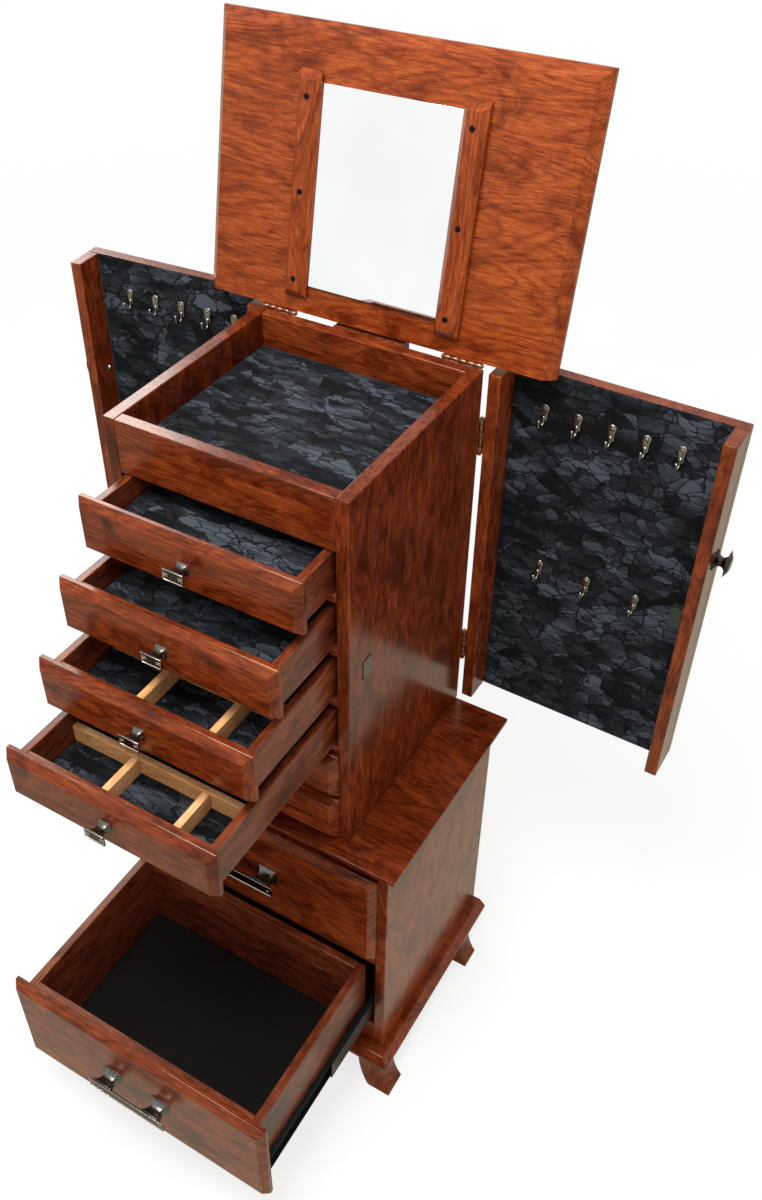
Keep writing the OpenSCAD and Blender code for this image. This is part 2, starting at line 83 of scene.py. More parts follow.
# %% Joint limits and the matrices that open the lid and the doors
joints = {j["name"]: j for j in frame["joints"]}
lid_open = -joints["lid_hinge"]["range_deg"][0]
door_open = {s: -joints[s + "_door_hinge"]["range_deg"][0] for s in ("right", "left")}


def turn_about(point, degrees, axis):
    """Matrix that turns by that angle about an axis through the point."""
    return (
        Matrix.Translation(point)
        @ Matrix.Rotation(math.radians(degrees), 4, axis)
        @ Matrix.Translation(-Vector(point))
    )


lid_turn = turn_about(Vector(joints["lid_hinge"]["pos_m"]), -lid_open, "X")
door_turn = {
    "right": turn_about(Vector(joints["right_door_hinge"]["pos_m"]), door_open["right"], "Z"),
    "left": turn_about(Vector(joints["left_door_hinge"]["pos_m"]), -door_open["left"], "Z"),
}
print("lid open", lid_open, "doors open", door_open)

# %% [markdown]
# ## Camera
# The camera stands high in front and to the right, and looks down and to the left. Its lens,
# place and small shift are those of the view that the piece is meant to be seen in.

# %% Camera
yaw, pitch, roll = (math.radians(a) for a in (-31.7, -40.4, -0.5))
look = Vector((math.sin(yaw) * math.cos(pitch), math.cos(yaw) * math.cos(pitch), math.sin(pitch)))
level = Vector((math.cos(yaw), -math.sin(yaw), 0))
upright = level.cross(look)
right = level * math.cos(roll) + upright * math.sin(roll)
above = upright * math.cos(roll) - level * math.sin(roll)
camera = bpy.data.objects.new("camera", bpy.data.cameras.new("camera"))
scene.collection.objects.link(camera)
camera.matrix_world = Matrix.Translation((0.765, -1.116, 2.0447)) @ Matrix(
    (right, above, -look)
).transposed().to_4x4()
camera.data.sensor_fit = "VERTICAL"
camera.data.sensor_height = 36
camera.data.lens = 35.46
camera.data.shift_x = 0.0346
camera.data.shift_y = -0.0087
camera.data.clip_end = 200
scene.camera = camera
scene.view_settings.view_transform = "Standard"

# %% [markdown]
# ## Materials
# Each finish is worked out from real sizes in metres. A helper turns a hex colour, which is
# written in sRGB, into the linear numbers that a shader wants. Another adds one node.


# %% Colour and node helpers
def linear(code):
    """Linear RGBA of a hex colour."""
    parts = [int(code[i : i + 2], 16) / 255 for i in (1, 3, 5)]
    return [c / 12.92 if c < 0.04045 else ((c + 0.055) / 1.055) ** 2.4 for c in parts] + [1]


def plug(tree, socket, value):
    """Joins the socket to another one, or gives it a plain value."""
    if isinstance(value, bpy.types.NodeSocket):
        tree.links.new(value, socket)
    else:
        socket.default_value = value


def add(tree, kind, settings=None, **inputs):
    """Adds a node. Settings are its properties; inputs are values or sockets, by input name,
    with _ for a space and a trailing number for its place among equal names."""
    node = tree.nodes.new(kind)
    for key, value in (settings or {}).items():
        setattr(node, key, value)
    for key, value in inputs.items():
        name, place = key.replace("_", " "), None
        if name.split(" ")[-1].isdigit() and name not in node.inputs:
            name, place = name.rsplit(" ", 1)
        same = [s for s in node.inputs if s.name == name and s.enabled]
        plug(tree, same[int(place)] if place else same[0], value)
    return node


def new_material(name):
    """An empty material with its Principled shader joined to the output."""
    material = bpy.data.materials.new(name)
    material.use_nodes = True
    tree = material.node_tree
    tree.nodes.clear()
    shader = tree.nodes.new("ShaderNodeBsdfPrincipled")
    out = tree.nodes.new("ShaderNodeOutputMaterial")
    tree.links.new(shader.outputs[0], out.inputs["Surface"])
    return material, tree, shader


def maths(tree, how, a, b=0.0, c=0.0):
    """One sum of two or three values."""
    node = add(tree, "ShaderNodeMath", {"operation": how})
    for socket, value in zip(node.inputs, (a, b, c)):
        plug(tree, socket, value)
    return node.outputs[0]


def vector_maths(tree, how, *values):
    """One sum of vectors. The dot product and the length come out as a number."""
    node = add(tree, "ShaderNodeVectorMath", {"operation": how})
    for socket, value in zip(node.inputs, values):
        plug(tree, socket, value)
    return node.outputs["Value" if how in ("DOT_PRODUCT", "LENGTH") else "Vector"]


def ramp(tree, value, stops):
    """Colour ramp from (place, hex colour) stops."""
    node = add(tree, "ShaderNodeValToRGB", Fac=value)
    elements = node.color_ramp.elements
    while len(elements) < len(stops):
        elements.new(0.5)
    for element, (place, code) in zip(elements, stops):
        element.position = place
        element.color = linear(code)
    return node.outputs["Color"]


def blend_colours(tree, how, amount, a, b):
    """Mixes two colours."""
    node = add(tree, "ShaderNodeMix", {"data_type": "RGBA", "blend_type": how})
    for index, value in ((0, amount), (6, a), (7, b)):
        plug(tree, node.inputs[index], value)
    return node.outputs[2]


# %% [markdown]
# ### Stained cherry under satin lacquer
# Cherry has a fine, even grain: soft growth lines that run along the board and arch across a
# flat-sawn face, short dark flecks a few millimetres long, and cloudy patches where the stain
# sank in deeper. Wide panels are glued from staves about 90 mm wide, each a little different.
# Every board carries an attribute, board_m, with its own metres: along the grain, across it and
# through it. So one material fits every board, whichever way it lies and however it is turned.


# %% Cherry, and the other woods that share its nodes
def wood(name, growth, clouds, gloss, stave=0.09, fleck="#2a0f0a", figure=0.15):
    material, tree, shader = new_material(name)
    metres = add(tree, "ShaderNodeAttribute", {"attribute_name": "board_m"}).outputs["Vector"]
    apart = add(tree, "ShaderNodeSeparateXYZ", Vector=metres)
    along, across, through = apart.outputs
    number = maths(tree, "FLOOR", maths(tree, "DIVIDE", across, stave))
    chance = add(tree, "ShaderNodeTexWhiteNoise", {"noise_dimensions": "1D"}, W=number)
    tone = chance.outputs["Value"]
    shifted = add(
        tree,
        "ShaderNodeCombineXYZ",
        X=maths(tree, "MULTIPLY_ADD", tone, 3.0, along),
        Y=across,
        Z=maths(tree, "MULTIPLY_ADD", number, 0.31, through),
    ).outputs[0]
    # here and there a small knot bends the growth lines round it
    flat = add(
        tree,
        "ShaderNodeCombineXYZ",
        X=maths(tree, "MULTIPLY", apart.outputs[0], 3.2),
        Y=maths(tree, "MULTIPLY", across, 5.2),
    ).outputs[0]
    eyes = add(tree, "ShaderNodeTexVoronoi", {"voronoi_dimensions": "2D"}, Vector=flat, Scale=1.0)
    luck = add(tree, "ShaderNodeSeparateColor", Color=eyes.outputs["Color"]).outputs[0]
    keep = maths(tree, "GREATER_THAN", luck, 0.62)
    near = add(
        tree,
        "ShaderNodeMapRange",
        Value=eyes.outputs["Distance"],
        From_Max=0.3,
        To_Min=1.0,
        To_Max=0.0,
    ).outputs[0]
    knot = maths(tree, "MULTIPLY", maths(tree, "POWER", near, 2.0), keep)
    # the growth lines are the contour lines of a slow noise that is stretched along the grain
    slow = add(tree, "ShaderNodeMapping", Vector=shifted, Scale=(1.7, 9.0, 9.0)).outputs[0]
    hills = add(
        tree, "ShaderNodeTexNoise", Vector=slow, Scale=1.0, Detail=2.0, Roughness=0.4, Distortion=0.4
    ).outputs["Fac"]
    hills = maths(tree, "MULTIPLY_ADD", knot, 0.3, hills)
    lines = maths(tree, "SINE", maths(tree, "MULTIPLY", hills, 190.0))
    lines = maths(tree, "POWER", maths(tree, "MULTIPLY_ADD", lines, 0.5, 0.5), 0.3)
    drawn_out = add(tree, "ShaderNodeMapping", Vector=shifted, Scale=(38.0, 460.0, 460.0)).outputs[0]
    streaks = add(
        tree, "ShaderNodeTexNoise", Vector=drawn_out, Scale=1.0, Detail=3.0, Roughness=0.6
    ).outputs["Fac"]
    flecks = add(tree, "ShaderNodeMapping", Vector=shifted, Scale=(90.0, 1100.0, 1100.0)).outputs[0]
    pores = add(
        tree, "ShaderNodeTexNoise", Vector=flecks, Scale=1.0, Detail=2.0, Roughness=0.5
    ).outputs["Fac"]
    cloud_place = add(tree, "ShaderNodeMapping", Vector=shifted, Scale=(9.0, 21.0, 21.0)).outputs[0]
    cloud = add(
        tree,
        "ShaderNodeTexNoise",
        Vector=cloud_place,
        Scale=1.0,
        Detail=6.0,
        Roughness=0.66,
        Distortion=1.6,
    ).outputs["Fac"]
    growth_tone = maths(tree, "MULTIPLY_ADD", streaks, 0.78, 0.18 - 0.8 * figure)
    growth_tone = maths(tree, "MULTIPLY_ADD", lines, figure, growth_tone)
    growth_tone = maths(tree, "MULTIPLY_ADD", tone, 0.14, maths(tree, "ADD", growth_tone, -0.12))
    colour = ramp(tree, growth_tone, growth)
    cloud = maths(tree, "MULTIPLY_ADD", knot, -0.3, cloud)
    colour = blend_colours(tree, "MULTIPLY", 1.0, colour, ramp(tree, cloud, clouds))
    speck = maths(tree, "GREATER_THAN", pores, 0.62)
    colour = blend_colours(tree, "MIX", maths(tree, "MULTIPLY", speck, 0.45), colour, linear(fleck))
    tree.links.new(colour, shader.inputs["Base Color"])
    rough = add(
        tree,
        "ShaderNodeMapRange",
        Value=streaks,
        From_Min=0.3,
        From_Max=0.7,
        To_Min=gloss - 0.03,
        To_Max=gloss + 0.04,
    ).outputs[0]
    tree.links.new(rough, shader.inputs["Roughness"])
    height = maths(tree, "MULTIPLY_ADD", speck, -0.5, streaks)
    bump = add(tree, "ShaderNodeBump", Strength=0.1, Distance=0.0003, Height=height)
    tree.links.new(bump.outputs[0], shader.inputs["Normal"])
    shader.inputs["IOR"].default_value = 1.38
    shader.inputs["Specular Tint"].default_value = linear("#fff0d8")
    return material


cherry = wood(
    "stained_cherry_satin_lacquer",
    [(0.28, "#471a09"), (0.42, "#64270f"), (0.55, "#773414"), (0.72, "#8e431d")],
    [(0.28, "#8a7064"), (0.42, "#c0aca1"), (0.52, "#e8ddd6"), (0.64, "#ffffff")],
    0.19,
)
# a lighter copy of the cherry for the open lid: its lighter colours are painted light, for the light
# that falls on the lid's face; its figure is a little stronger
lid_cherry_painted_lit = wood(
    "stained_cherry_lid_board",
    [(0.24, "#541f08"), (0.40, "#742d0e"), (0.55, "#893d16"), (0.74, "#a05124")],
    [(0.28, "#a08474"), (0.41, "#cdb9ac"), (0.50, "#eee5de"), (0.60, "#ffffff")],
    0.19,
    figure=0.2,
)
inner_cherry = wood(
    "stained_cherry_inside",
    [(0.28, "#4a1e0e"), (0.42, "#632b17"), (0.55, "#77391f"), (0.72, "#8b4828")],
    [(0.28, "#8a7066"), (0.42, "#c0aca2"), (0.52, "#e8ddd6"), (0.64, "#ffffff")],
    0.28,
    stave=0.2,
)
maple = wood(
    "unfinished_maple",
    [(0.22, "#c4864f"), (0.42, "#dc9f67"), (0.58, "#e8b17c"), (0.78, "#f2c595")],
    [(0.30, "#e6d8c8"), (0.46, "#f6f0ea"), (0.62, "#ffffff")],
    0.5,
    stave=0.4,
    fleck="#9a6a3c",
)

# %% [markdown]
# ### Crushed velvet
# Crushed velvet has its pile pressed flat in many directions. Each small patch catches the light
# in its own way, so black cloth shows slate-grey facets with dark creases between them. Here that
# light and shade is painted into the colour: three layers of long, slightly bent cells set the
# facets, each with a painted sheen that fades across it, and their edges set the creases as
# painted shade. The widest cells are 100 mm long and a third as wide. Felt is the same recipe
# with very small cells.


# %% Velvet and felt
def velvet(name, dark, mid, pale, wide, narrow, sheen):
    material, tree, shader = new_material(name)
    place = add(tree, "ShaderNodeTexCoord").outputs["Object"]
    wander = add(tree, "ShaderNodeTexNoise", Vector=place, Scale=22.0, Detail=3.0, Roughness=0.6)
    half = (0.5, 0.5, 0.5)
    push = vector_maths(tree, "SUBTRACT", wander.outputs["Color"], half)
    bent = vector_maths(tree, "MULTIPLY_ADD", push, (0.02, 0.02, 0.02), place)
    painted_facet_sheen, painted_creases_and_nap = [], []
    for size, turn in ((wide, 0.6), (narrow, -0.9), (narrow * 1.7, 2.1)):
        # leaf-shaped cells, laid another way in each layer
        laid = add(
            tree,
            "ShaderNodeMapping",
            Vector=bent,
            Rotation=(turn, turn * 1.3, turn),
            Scale=(1.0, 3.2, 2.0),
        ).outputs[0]
        cells = add(tree, "ShaderNodeTexVoronoi", {"feature": "F1"}, Vector=laid, Scale=1 / size)
        rims = {"feature": "DISTANCE_TO_EDGE"}
        edges = add(tree, "ShaderNodeTexVoronoi", rims, Vector=laid, Scale=1 / size)
        # the pile of a facet leans its own way, and the light fading across it that way is painted
        # sheen
        from_middle = vector_maths(tree, "SUBTRACT", laid, cells.outputs["Position"])
        lean = vector_maths(tree, "SUBTRACT", cells.outputs["Color"], half)
        across = vector_maths(tree, "DOT_PRODUCT", from_middle, lean)
        tone = add(tree, "ShaderNodeSeparateColor", Color=cells.outputs["Color"]).outputs[1]
        painted_facet_sheen.append(maths(tree, "MULTIPLY_ADD", across, 1.5 / size, tone))
        # painted shade: a dark crease line along each facet's edge
        painted_creases_and_nap.append(
            add(
                tree,
                "ShaderNodeMapRange",
                Value=edges.outputs["Distance"],
                From_Max=1.8 * MM / size,
                To_Min=0.22,
            ).outputs[0]
        )
    fine = add(tree, "ShaderNodeTexNoise", Vector=place, Scale=700.0, Detail=2.0).outputs["Fac"]
    small = maths(tree, "MULTIPLY", maths(tree, "ADD", painted_facet_sheen[1], painted_facet_sheen[2]), 0.40)
    both = maths(tree, "MULTIPLY_ADD", painted_facet_sheen[0], 0.30, small)
    nap = add(tree, "ShaderNodeTexNoise", Vector=place, Scale=150.0, Detail=4.0, Roughness=0.7)
    painted_creases_and_nap.append(maths(tree, "MULTIPLY_ADD", nap.outputs["Fac"], 0.9, 0.52))
    for crease in painted_creases_and_nap:
        both = maths(tree, "MULTIPLY", both, crease)
    value = maths(tree, "MULTIPLY_ADD", fine, 0.2, maths(tree, "SUBTRACT", both, 0.1))
    # the ramp turns the painted sheen and crease shade into colour: pale on lit facets, dark in the
    # creases
    colour = ramp(tree, value, [(0.14, dark), (0.50, mid), (0.88, pale)])
    tree.links.new(colour, shader.inputs["Base Color"])
    shader.inputs["Roughness"].default_value = 0.95
    shader.inputs["Specular IOR Level"].default_value = 0.12
    shader.inputs["Sheen Weight"].default_value = sheen
    shader.inputs["Sheen Roughness"].default_value = 0.35
    shader.inputs["Sheen Tint"].default_value = linear("#aab4c4")
    height = maths(tree, "MULTIPLY_ADD", fine, 0.25, both)
    bump = add(tree, "ShaderNodeBump", Strength=0.5, Distance=0.0015, Height=height)
    tree.links.new(bump.outputs[0], shader.inputs["Normal"])
    return material


crushed_velvet = velvet("black_crushed_velvet", "#08090a", "#1d2023", "#3f444b", 0.1, 0.036, 0.07)
felt = velvet("black_wool_felt", "#131210", "#1a1916", "#211f1c", 0.05, 0.004, 0.03)


# %% [markdown]
# ### Metals and glass
# The pulls and hooks are cast zinc. The pulls have an oil-rubbed bronze finish: nearly black-brown
# on the faces and rubbed back to copper along the edges. The hooks are antique pewter. The hinges
# are antique copper plate. The drawer slides are black zinc-plated steel, and the mirror is
# silvered float glass.


# %% Metals
def metal(name, base, worn, rough, grain=320.0, metallic=1.0):
    material, tree, shader = new_material(name)
    place = add(tree, "ShaderNodeTexCoord").outputs["Object"]
    patches = add(tree, "ShaderNodeTexNoise", Vector=place, Scale=grain, Detail=4.0, Roughness=0.65)
    wear = add(
        tree, "ShaderNodeMapRange", Value=patches.outputs["Fac"], From_Min=0.45, From_Max=0.75
    ).outputs[0]
    colour = blend_colours(tree, "MIX", wear, linear(base), linear(worn))
    tree.links.new(colour, shader.inputs["Base Color"])
    shader.inputs["Metallic"].default_value = metallic
    spread = add(
        tree,
        "ShaderNodeMapRange",
        Value=patches.outputs["Fac"],
        From_Min=0.3,
        From_Max=0.7,
        To_Min=rough - 0.07,
        To_Max=rough + 0.08,
    ).outputs[0]
    tree.links.new(spread, shader.inputs["Roughness"])
    bump = add(tree, "ShaderNodeBump", Strength=0.05, Distance=0.0002, Height=patches.outputs["Fac"])
    tree.links.new(bump.outputs[0], shader.inputs["Normal"])
    return material


bronze = metal("oil_rubbed_bronze", "#3f3a36", "#5c544d", 0.27)
rubbed_edge = metal("rubbed_copper_edge", "#ecd4c9", "#fbe9e0", 0.22)
copper = metal("antique_copper_plate", "#7d4f3a", "#b98468", 0.3)
post_metal = metal("aged_grey_bronze", "#64625e", "#85837e", 0.26)
stud_copper = metal("polished_copper_stud", "#c08a74", "#e6b9a4", 0.22)
pewter = metal("antique_pewter", "#7b776f", "#c9c5bd", 0.22, grain=500.0)
black_steel = metal("black_zinc_steel", "#17181a", "#26282b", 0.35, metallic=0.7)
black_screw = metal("black_oxide_screw", "#0d0d0e", "#1c1c1e", 0.4, metallic=0.8)
bright_steel = metal("bright_zinc_screw", "#c9c9c6", "#e6e6e3", 0.2)
catch_steel = metal("dark_catch_steel", "#3b3f3e", "#565956", 0.35, metallic=0.8)

mirror_glass, mirror_tree, mirror_shader = new_material("silvered_float_glass")
mist = add(mirror_tree, "ShaderNodeTexNoise", Scale=6.0, Detail=2.0)
mirror_tree.links.new(
    add(mirror_tree, "ShaderNodeTexCoord").outputs["Object"], mist.inputs["Vector"]
)
mirror_tree.links.new(
    ramp(mirror_tree, mist.outputs["Fac"], [(0.3, "#f2f4f4"), (0.7, "#fafbfb")]),
    mirror_shader.inputs["Base Color"],
)
mirror_shader.inputs["Metallic"].default_value = 1.0
mirror_shader.inputs["Roughness"].default_value = 0.0
print("materials", len(bpy.data.materials))

# %% [markdown]
# ## Wooden boards
# Real boards never have knife edges: a maker rubs each arris down by about a millimetre, and
# that thin rounded line is what catches the light. A CAD board is copied, its loose triangles
# are merged, and its edges are eased. Boxes and frames are built board by board, so that the
# grain turns at each joint.

# %% Board helpers
GRAIN = {"X": (0, 2, 1), "Y": (1, 2, 0), "Z": (2, 0, 1)}
ARRIS = 1.0 * MM
SHARP = math.radians(20)


def seed_of(name):
    """The same random numbers for a name on every run."""
    return random.Random(zlib.crc32(name.encode()))


def ease(bm, width, segments=2):
    """Rounds the sharp edges by width, and shades flat faces flat and round ones smooth."""
    sharp = [
        e
        for e in bm.edges
        if len(e.link_faces) == 2 and abs(e.calc_face_angle(0)) > SHARP
    ]
    made = bmesh.ops.bevel(
        bm,
        geom=sharp,
        offset=width,
        segments=segments,
        profile=0.5,
        affect="EDGES",
        clamp_overlap=True,
    )
    rounded = set(made["faces"])
    bm.normal_update()
    for face in bm.faces:
        face.smooth = face in rounded or any(
            len(e.link_faces) == 2
            and not any(f in rounded for f in e.link_faces)
            and 0.005 < abs(e.calc_face_angle(0)) < 0.3
            for e in face.edges
        )
    return rounded


def finished_mesh(name, bm, materials):
    """A mesh from the bmesh, which is freed."""
    mesh = bpy.data.meshes.new(name)
    bm.to_mesh(mesh)
    bm.free()
    for material in materials:
        mesh.materials.append(material)
    return mesh


def place_in_tree(name):
    """Where a board was cut from, in metres, so that no two have the same figure."""
    dice = seed_of(name)
    return [dice.uniform(0, 9) for _ in range(3)]


def mark_grain(mesh, grain, name, untilt=None):
    """Writes each point's own board metres: along, across and through."""
    shift = place_in_tree(name)
    layer = mesh.attributes.new("board_m", "FLOAT_VECTOR", "POINT")
    order = GRAIN[grain]
    for vertex in mesh.vertices:
        point = untilt @ vertex.co if untilt else vertex.co
        layer.data[vertex.index].vector = [point[order[i]] + shift[i] for i in range(3)]


def link(name, mesh, body, *stands_for):
    """Makes the object, puts it on its body and hides the CAD nodes that it stands for."""
    piece = bpy.data.objects.new(name, mesh)
    scene.collection.objects.link(piece)
    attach(piece, body)
    if stands_for:
        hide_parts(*stands_for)
    return piece


def body_of_node(node):
    return nodes[node]["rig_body"]


def eased_copy(node, width, materials, grain=None, untilt=None, edge_slot=0, segments=2):
    """A merged copy of a CAD node with its edges eased."""
    bm = bmesh.new()
    bm.from_mesh(nodes[node].data)
    bmesh.ops.remove_doubles(bm, verts=bm.verts, dist=2e-6)
    bmesh.ops.dissolve_limit(bm, angle_limit=math.radians(0.6), verts=bm.verts, edges=bm.edges)
    rounded = ease(bm, width, segments=segments)
    for face in bm.faces:
        face.material_index = edge_slot if face in rounded else 0
    name = node + "_eased"
    mesh = finished_mesh(name, bm, materials)
    if grain:
        mark_grain(mesh, grain, node, untilt)
    return link(name, mesh, body_of_node(node), node)


def board_box(low, high):
    """One board with eased edges, as a bmesh."""
    bm = bmesh.new()
    bmesh.ops.create_cube(bm, size=1.0)
    size = Vector(high) - Vector(low)
    middle = (Vector(high) + Vector(low)) / 2
    for vertex in bm.verts:
        vertex.co = middle + Vector(a * b for a, b in zip(vertex.co, size))
    ease(bm, min(1.4 * ARRIS, min(size) * 0.3))
    return bm


def board_set(name, body, boards, material, stands_for, turn=None):
    """Several boards in one piece. Each is (low, high, grain)."""
    whole = bmesh.new()
    layer = whole.verts.layers.float_vector.new("board_m")
    for index, (low, high, grain) in enumerate(boards):
        part = board_box(low, high)
        shift = place_in_tree(f"{name}{index}")
        order = GRAIN[grain]
        new = {}
        for vertex in part.verts:
            copy = whole.verts.new(turn @ vertex.co if turn else vertex.co)
            copy[layer] = [vertex.co[order[i]] + shift[i] for i in range(3)]
            new[vertex] = copy
        for face in part.faces:
            made = whole.faces.new([new[v] for v in face.verts])
            made.smooth = face.smooth
        part.free()
    return link(name, finished_mesh(name, whole, [material]), body, *stands_for)


# %% [markdown]
# ### Single boards
# The tops, fronts, rails and feet keep their CAD shape, which already has the bevels. The grain
# of each runs along its longest side, as a maker would cut it.

# %% Shaped boards
shaped = [("base_plate", "X"), ("base_top_board", "X"), ("lid_board", "X")]
shaped += [("mirror_rails", "Y"), ("feet", "Z")]
fronts = [f"drawer_{number}_front" for number in range(1, 7)]
fronts += [f"{place}_base_drawer_front" for place in ("upper", "lower")]
shaped += [(node, "X") for node in fronts]
for node, grain in shaped:
    if body_of_node(node) == "lid":
        # the lid stands open, so its grain is measured with the lid turned back
        # the lid takes the lighter copy of the cherry, with the light on it painted in
        eased_copy(node, ARRIS, [lid_cherry_painted_lit], grain, lid_turn.inverted())
    else:
        eased_copy(node, ARRIS, [cherry], grain)
print("shaped boards", len(shaped))


# %% [markdown]
# ### Cases, rails and drawer boxes
# A drawer box is two long sides with the front and back let in between them, and a thin bottom.
# The same few lines build every box from its CAD corners.


# %% Box and frame boards
def corners(node):
    low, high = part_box(node)
    return Vector(low), Vector(high)


def mirrored(low, high):
    """The same box on the other side of the middle."""
    return (-high[0], low[1], low[2]), (-low[0], high[1], high[2])


def side_pair(low, high, grain):
    """A board on the right and its twin on the left."""
    twin = mirrored(low, high)
    return [(low, high, grain), (twin[0], twin[1], grain)]


def drawer_box(node, wall, rise, bottom):
    """Four walls and a bottom that lies at that rise above their lower edges."""
    low, high = corners(node)
    x0, y0, z0 = low
    x1, y1, z1 = high
    boards = side_pair((x1 - wall, y0, z0), (x1, y1, z1), "Y")
    boards.append(((x0 + wall, y1 - wall, z0), (x1 - wall, y1, z1), "X"))
    boards.append(((x0 + wall, y0, z0), (x1 - wall, y0 + wall, z1), "X"))
    boards.append(
        ((x0 + wall, y0 + wall, z0 + rise), (x1 - wall, y1 - wall, z0 + rise + bottom), "X")
    )
    return board_set(node + "_boards", body_of_node(node), boards, inner_cherry, [node])


SMALL_WALL, SMALL_RISE, SMALL_BOTTOM = (v * MM for v in (12, 8, 5))
BASE_WALL, BASE_RISE, BASE_BOTTOM = (v * MM for v in (14, 4, 6))
for number in range(1, 7):
    drawer_box(f"drawer_{number}_box", SMALL_WALL, SMALL_RISE, SMALL_BOTTOM)
for place in ("upper", "lower"):
    drawer_box(f"{place}_base_drawer_box", BASE_WALL, BASE_RISE, BASE_BOTTOM)

WOOD = 19 * MM
for node, grain in (("base_sides", "Z"), ("upper_sides", "Z")):
    low, high = corners(node)
    boards = side_pair((high.x - WOOD, low.y, low.z), tuple(high), grain)
    board_set(node + "_boards", "cabinet", boards, cherry, [node])
low, high = corners("tray_rails")
board_set(
    "tray_rail_boards",
    "cabinet",
    [
        (tuple(low), (high.x, low.y + WOOD, high.z), "X"),
        ((low.x, high.y - WOOD, low.z), tuple(high), "X"),
    ],
    cherry,
    ["tray_rails"],
)
for node, grain, material in (
    ("base_front_rails", "X", cherry),
    ("back_panels", "Z", inner_cherry),
    ("upper_inner_frame", "X", inner_cherry),
):
    eased_copy(node, 0.6 * MM, [material], grain)
print("drawer boxes and case boards done")

# %% [markdown]
# ### Side doors
# Each door is a shallow channel: a wide panel with a stile along its hinged edge and another
# along its free edge. It is open at the top and bottom. The boards are built closed and then
# swung open about the hinge.

# %% Door boards
case_low, case_high = corners("upper_sides")
GAP, DEEP, LENGTH, HEIGHT, RISE, LINER = (v * MM for v in (3, 67.5, 348, 622, 4, 3.5))
inner_x = case_high.x + GAP
outer_x = inner_x + DEEP
free_y = case_high.y - LENGTH
door_z = (case_low.z + RISE, case_low.z + RISE + HEIGHT)
floor_x = outer_x - WOOD - LINER


def on_side(side, low, high):
    return (low, high) if side == "right" else mirrored(low, high)


for side in ("right", "left"):
    boards = []
    for low, high in (
        ((outer_x - WOOD, free_y, door_z[0]), (outer_x, case_high.y, door_z[1])),
        ((inner_x, free_y, door_z[0]), (outer_x - WOOD, free_y + WOOD, door_z[1])),
        ((inner_x, case_high.y - WOOD, door_z[0]), (outer_x - WOOD, case_high.y, door_z[1])),
    ):
        low, high = on_side(side, low, high)
        boards.append((low, high, "Z"))
    board_set(
        side + "_door_boards",
        side + "_door",
        boards,
        cherry,
        [side + "_door_frame"],
        door_turn[side],
    )

# %% [markdown]
# ### Dividers
# The dividers are unfinished maple strips. The cross piece runs the full width, and two short
# ones meet it from the front.

# %% Divider strips
STRIP = 11 * MM
SHORT_STRIPS_X = (-37 * MM, 82 * MM)
for number in (3, 4):
    node = f"drawer_{number}_dividers"
    low, high = corners(node)
    strips = [((low.x, high.y - STRIP, low.z), tuple(high), "X")]
    for x in SHORT_STRIPS_X:
        near, far = (x - STRIP / 2, low.y, low.z), (x + STRIP / 2, high.y - STRIP, high.z)
        strips.append((near, far, "Y"))
    board_set(node + "_strips", f"drawer_{number}", strips, maple, [node])

# %% [markdown]
# ## Linings
# The tray, the doors and the small drawers are lined with crushed velvet over card, and the base
# drawers with plain felt. A lining is a thin cloth with a slightly uneven face and edges that
# roll down to the wood. It is a closed sheet, 2 mm thick in the drawers.


# %% Cloth helper
def lining(
    name,
    body,
    low,
    high,
    up,
    material,
    relief=0.5 * MM,
    turn=None,
    stands_for=(),
    lift=None,
    step=6 * MM,
):
    """A closed thin sheet in the box from low to high. up is the axis and sign of its face, and
    lift(u, v), in metres, may raise the face more."""
    axis, sign = "XYZ".index(up[1]), 1 if up[0] == "+" else -1
    a, b = [i for i in range(3) if i != axis]
    count = [max(8, round((high[i] - low[i]) / step)) for i in (a, b)]
    dice = seed_of(name)
    waves = [
        (dice.uniform(20, 90), dice.uniform(20, 90), dice.uniform(0, 6.3), dice.uniform(0.3, 1))
        for _ in range(14)
    ]
    total = sum(w[3] for w in waves)
    base = low[axis] if sign > 0 else high[axis]
    face = high[axis] if sign > 0 else low[axis]
    bm = bmesh.new()
    rows = {}
    for layer in (0, 1):
        for i in range(count[0] + 1):
            for j in range(count[1] + 1):
                u, v = i / count[0], j / count[1]
                point = [0.0, 0.0, 0.0]
                point[a] = low[a] + (high[a] - low[a]) * u
                point[b] = low[b] + (high[b] - low[b]) * v
                if layer == 0:
                    point[axis] = base
                else:
                    rim = min(u, 1 - u) * count[0], min(v, 1 - v) * count[1]
                    rolled = 1 - math.exp(-1.6 * min(rim) * step / (6 * MM))
                    swell = sum(
                        size * math.sin(p * point[a] + q * point[b] * (1 if k % 2 else -1) + start)
                        for k, (p, q, start, size) in enumerate(waves)
                    )
                    raised = relief * (swell / total * 1.8 - 0.9)
                    raised += lift(point[a], point[b]) if lift else 0
                    height = abs(face - base) * (0.55 + 0.45 * rolled) + raised * rolled
                    point[axis] = base + sign * height
                at = Vector(point)
                rows[layer, i, j] = bm.verts.new(turn @ at if turn else at)
    for i in range(count[0]):
        for j in range(count[1]):
            for layer in (0, 1):
                quad = [rows[layer, i + p, j + q] for p, q in ((0, 0), (1, 0), (1, 1), (0, 1))]
                bm.faces.new(quad).smooth = True
    for i in range(count[0]):
        for j in (0, count[1]):
            bm.faces.new([rows[0, i, j], rows[0, i + 1, j], rows[1, i + 1, j], rows[1, i, j]])
    for j in range(count[1]):
        for i in (0, count[0]):
            bm.faces.new([rows[0, i, j], rows[0, i, j + 1], rows[1, i, j + 1], rows[1, i, j]])
    bmesh.ops.recalc_face_normals(bm, faces=bm.faces)
    return link(name, finished_mesh(name, bm, [material]), body, *stands_for)


